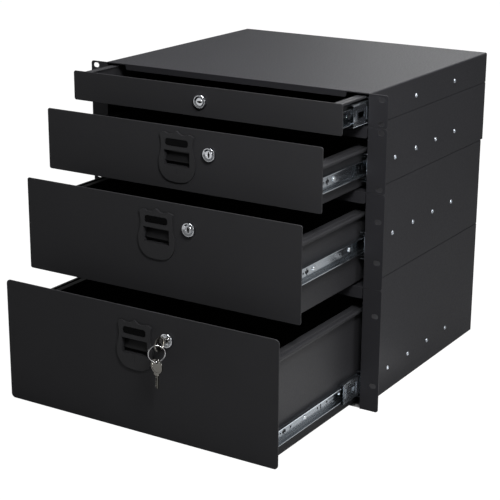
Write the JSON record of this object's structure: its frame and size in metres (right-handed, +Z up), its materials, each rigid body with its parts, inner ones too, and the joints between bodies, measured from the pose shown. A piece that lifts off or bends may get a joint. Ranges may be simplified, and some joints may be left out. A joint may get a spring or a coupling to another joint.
{
  "type": "rack drawer stack",
  "caption": "Stack of lockable steel 19-inch rack drawers in graded heights on telescopic ball slides, with finger-pull latches, cam locks and oblong ear holes.",
  "frame": {"origin": "centre line of the rack, bottom of the lowest drawer, on the back face of the ears, where the rack rails' front faces lie", "axes": "+X right seen from the front, +Y into the rack, +Z up"},
  "size_m": [0.4826, 0.6471, 0.4445],
  "materials": {
    "case_paint": "fine black powder coat",
    "front_paint": "fine black powder coat",
    "zinc": "bright zinc plate",
    "latch_plastic": "fine moulded grain",
    "lock_chrome": "polished",
    "key_nickel": "nickel plate",
    "ring_steel": "bright wire"
  },
  "bodies": {
    "stack": {"slide_rivets": "zinc", "case_1u": "case_paint", "cabinet_members_1u": "zinc", "case_2u": "case_paint", "cabinet_members_2u": "zinc", "case_3u": "case_paint", "cabinet_members_3u": "zinc", "case_4u": "case_paint", "cabinet_members_4u": "zinc"},
    "middle_1u": {"middle_members_1u": "zinc"},
    "outer_cages_1u": {"outer_ball_cages_1u": "zinc"},
    "inner_cages_1u": {"inner_ball_cages_1u": "zinc"},
    "drawer_1u": {"drawer_members_1u": "zinc", "tray_1u": "case_paint", "front_1u": "front_paint", "lock_barrel_1u": "lock_chrome"},
    "lock_1u": {"lock_plug_1u": "lock_chrome", "lock_cam_1u": "zinc"},
    "middle_2u": {"middle_members_2u": "zinc"},
    "outer_cages_2u": {"outer_ball_cages_2u": "zinc"},
    "inner_cages_2u": {"inner_ball_cages_2u": "zinc"},
    "drawer_2u": {"drawer_members_2u": "zinc", "tray_2u": "case_paint", "front_2u": "front_paint", "lock_barrel_2u": "lock_chrome", "latch_shield_2u": "latch_plastic"},
    "lock_2u": {"lock_plug_2u": "lock_chrome", "lock_cam_2u": "zinc"},
    "paddle_2u": {"latch_paddle_2u": "latch_plastic"},
    "bolt_2u": {"latch_bolt_2u": "latch_plastic"},
    "middle_3u": {"middle_members_3u": "zinc"},
    "outer_cages_3u": {"outer_ball_cages_3u": "zinc"},
    "inner_cages_3u": {"inner_ball_cages_3u": "zinc"},
    "drawer_3u": {"drawer_members_3u": "zinc", "tray_3u": "case_paint", "front_3u": "front_paint", "lock_barrel_3u": "lock_chrome", "latch_shield_3u": "latch_plastic"},
    "lock_3u": {"lock_plug_3u": "lock_chrome", "lock_cam_3u": "zinc"},
    "paddle_3u": {"latch_paddle_3u": "latch_plastic"},
    "bolt_3u": {"latch_bolt_3u": "latch_plastic"},
    "middle_4u": {"middle_members_4u": "zinc"},
    "outer_cages_4u": {"outer_ball_cages_4u": "zinc"},
    "inner_cages_4u": {"inner_ball_cages_4u": "zinc"},
    "drawer_4u": {"drawer_members_4u": "zinc", "tray_4u": "case_paint", "front_4u": "front_paint", "lock_barrel_4u": "lock_chrome", "latch_shield_4u": "latch_plastic"},
    "lock_4u": {"lock_plug_4u": "lock_chrome", "lock_cam_4u": "zinc", "lock_key": "key_nickel"},
    "paddle_4u": {"latch_paddle_4u": "latch_plastic"},
    "bolt_4u": {"latch_bolt_4u": "latch_plastic"},
    "ring": {"key_ring": "ring_steel"},
    "spare": {"spare_key": "key_nickel"}
  },
  "joints": [
    {"name": "middle_slide_1u", "type": "slide", "parent": "stack", "child": "middle_1u", "axis": [0, -1, 0], "range_m": [-0.042, 0.143]},
    {"name": "outer_cage_slide_1u", "type": "slide", "parent": "stack", "child": "outer_cages_1u", "axis": [0, -1, 0], "range_m": [-0.021, 0.0715]},
    {"name": "drawer_slide_1u", "type": "slide", "parent": "middle_1u", "child": "drawer_1u", "axis": [0, -1, 0], "range_m": [-0.03, 0.155]},
    {"name": "inner_cage_slide_1u", "type": "slide", "parent": "middle_1u", "child": "inner_cages_1u", "axis": [0, -1, 0], "range_m": [-0.015, 0.0775]},
    {"name": "lock_turn_1u", "type": "hinge", "parent": "drawer_1u", "child": "lock_1u", "pos_m": [0, -0.072, 0.42228], "axis": [0, -1, 0], "range_deg": [0, 90]},
    {"name": "middle_slide_2u", "type": "slide", "parent": "stack", "child": "middle_2u", "axis": [0, -1, 0], "range_m": [0, 0.185]},
    {"name": "outer_cage_slide_2u", "type": "slide", "parent": "stack", "child": "outer_cages_2u", "axis": [0, -1, 0], "range_m": [0, 0.0925]},
    {"name": "drawer_slide_2u", "type": "slide", "parent": "middle_2u", "child": "drawer_2u", "axis": [0, -1, 0], "range_m": [-0.1275, 0.0575]},
    {"name": "inner_cage_slide_2u", "type": "slide", "parent": "middle_2u", "child": "inner_cages_2u", "axis": [0, -1, 0], "range_m": [-0.06375, 0.02875]},
    {"name": "lock_turn_2u", "type": "hinge", "parent": "drawer_2u", "child": "lock_2u", "pos_m": [0.0512, -0.1275, 0.36755], "axis": [0, -1, 0], "range_deg": [0, 90]},
    {"name": "paddle_swing_2u", "type": "hinge", "parent": "drawer_2u", "child": "paddle_2u", "pos_m": [0, -0.1234, 0.36285], "axis": [-1, 0, 0], "range_deg": [0, 25.1], "stiffness_Nm_per_rad": 0.05, "springref_deg": -11.46},
    {"name": "bolt_slide_2u", "type": "slide", "parent": "drawer_2u", "child": "bolt_2u", "axis": [0, 0, -1], "range_m": [0, 0.00218]},
    {"name": "middle_slide_3u", "type": "slide", "parent": "stack", "child": "middle_3u", "axis": [0, -1, 0], "range_m": [0, 0.185]},
    {"name": "outer_cage_slide_3u", "type": "slide", "parent": "stack", "child": "outer_cages_3u", "axis": [0, -1, 0], "range_m": [0, 0.0925]},
    {"name": "drawer_slide_3u", "type": "slide", "parent": "middle_3u", "child": "drawer_3u", "axis": [0, -1, 0], "range_m": [-0.176, 0.009]},
    {"name": "inner_cage_slide_3u", "type": "slide", "parent": "middle_3u", "child": "inner_cages_3u", "axis": [0, -1, 0], "range_m": [-0.088, 0.0045]},
    {"name": "lock_turn_3u", "type": "hinge", "parent": "drawer_3u", "child": "lock_3u", "pos_m": [0.0512, -0.176, 0.27815], "axis": [0, -1, 0], "range_deg": [0, 90]},
    {"name": "paddle_swing_3u", "type": "hinge", "parent": "drawer_3u", "child": "paddle_3u", "pos_m": [0, -0.1719, 0.26895], "axis": [-1, 0, 0], "range_deg": [0, 25.1], "stiffness_Nm_per_rad": 0.05, "springref_deg": -11.46},
    {"name": "bolt_slide_3u", "type": "slide", "parent": "drawer_3u", "child": "bolt_3u", "axis": [0, 0, -1], "range_m": [0, 0.00218]},
    {"name": "middle_slide_4u", "type": "slide", "parent": "stack", "child": "middle_4u", "axis": [0, -1, 0], "range_m": [-0.049, 0.136]},
    {"name": "outer_cage_slide_4u", "type": "slide", "parent": "stack", "child": "outer_cages_4u", "axis": [0, -1, 0], "range_m": [-0.0245, 0.068]},
    {"name": "drawer_slide_4u", "type": "slide", "parent": "middle_4u", "child": "drawer_4u", "axis": [0, -1, 0], "range_m": [-0.179, 0.006]},
    {"name": "inner_cage_slide_4u", "type": "slide", "parent": "middle_4u", "child": "inner_cages_4u", "axis": [0, -1, 0], "range_m": [-0.0895, 0.003]},
    {"name": "lock_turn_4u", "type": "hinge", "parent": "drawer_4u", "child": "lock_4u", "pos_m": [0.0512, -0.228, 0.1423], "axis": [0, -1, 0], "range_deg": [0, 90]},
    {"name": "paddle_swing_4u", "type": "hinge", "parent": "drawer_4u", "child": "paddle_4u", "pos_m": [0, -0.2239, 0.1301], "axis": [-1, 0, 0], "range_deg": [0, 25.1], "stiffness_Nm_per_rad": 0.05, "springref_deg": -11.46},
    {"name": "bolt_slide_4u", "type": "slide", "parent": "drawer_4u", "child": "bolt_4u", "axis": [0, 0, -1], "range_m": [0, 0.00218]},
    {"name": "ring_swing", "type": "hinge", "parent": "lock_4u", "child": "ring", "pos_m": [0.0512, -0.2563, 0.1423], "axis": [1, 0, 0], "range_deg": [-12, 12]},
    {"name": "spare_key_swing", "type": "hinge", "parent": "ring", "child": "spare", "pos_m": [0.0512, -0.2563, 0.1203], "axis": [0.1736, 0.9848, 0], "range_deg": [-15, 15]}
  ],
  "couplings": [
    {"joint": "outer_cage_slide_1u", "follows": "middle_slide_1u", "ratio": 0.5},
    {"joint": "inner_cage_slide_1u", "follows": "drawer_slide_1u", "ratio": 0.5},
    {"joint": "outer_cage_slide_2u", "follows": "middle_slide_2u", "ratio": 0.5},
    {"joint": "inner_cage_slide_2u", "follows": "drawer_slide_2u", "ratio": 0.5},
    {"joint": "paddle_swing_2u", "follows": "bolt_slide_2u", "rad_per_m": 200},
    {"joint": "outer_cage_slide_3u", "follows": "middle_slide_3u", "ratio": 0.5},
    {"joint": "inner_cage_slide_3u", "follows": "drawer_slide_3u", "ratio": 0.5},
    {"joint": "paddle_swing_3u", "follows": "bolt_slide_3u", "rad_per_m": 200},
    {"joint": "outer_cage_slide_4u", "follows": "middle_slide_4u", "ratio": 0.5},
    {"joint": "inner_cage_slide_4u", "follows": "drawer_slide_4u", "ratio": 0.5},
    {"joint": "paddle_swing_4u", "follows": "bolt_slide_4u", "rad_per_m": 200}
  ]
}
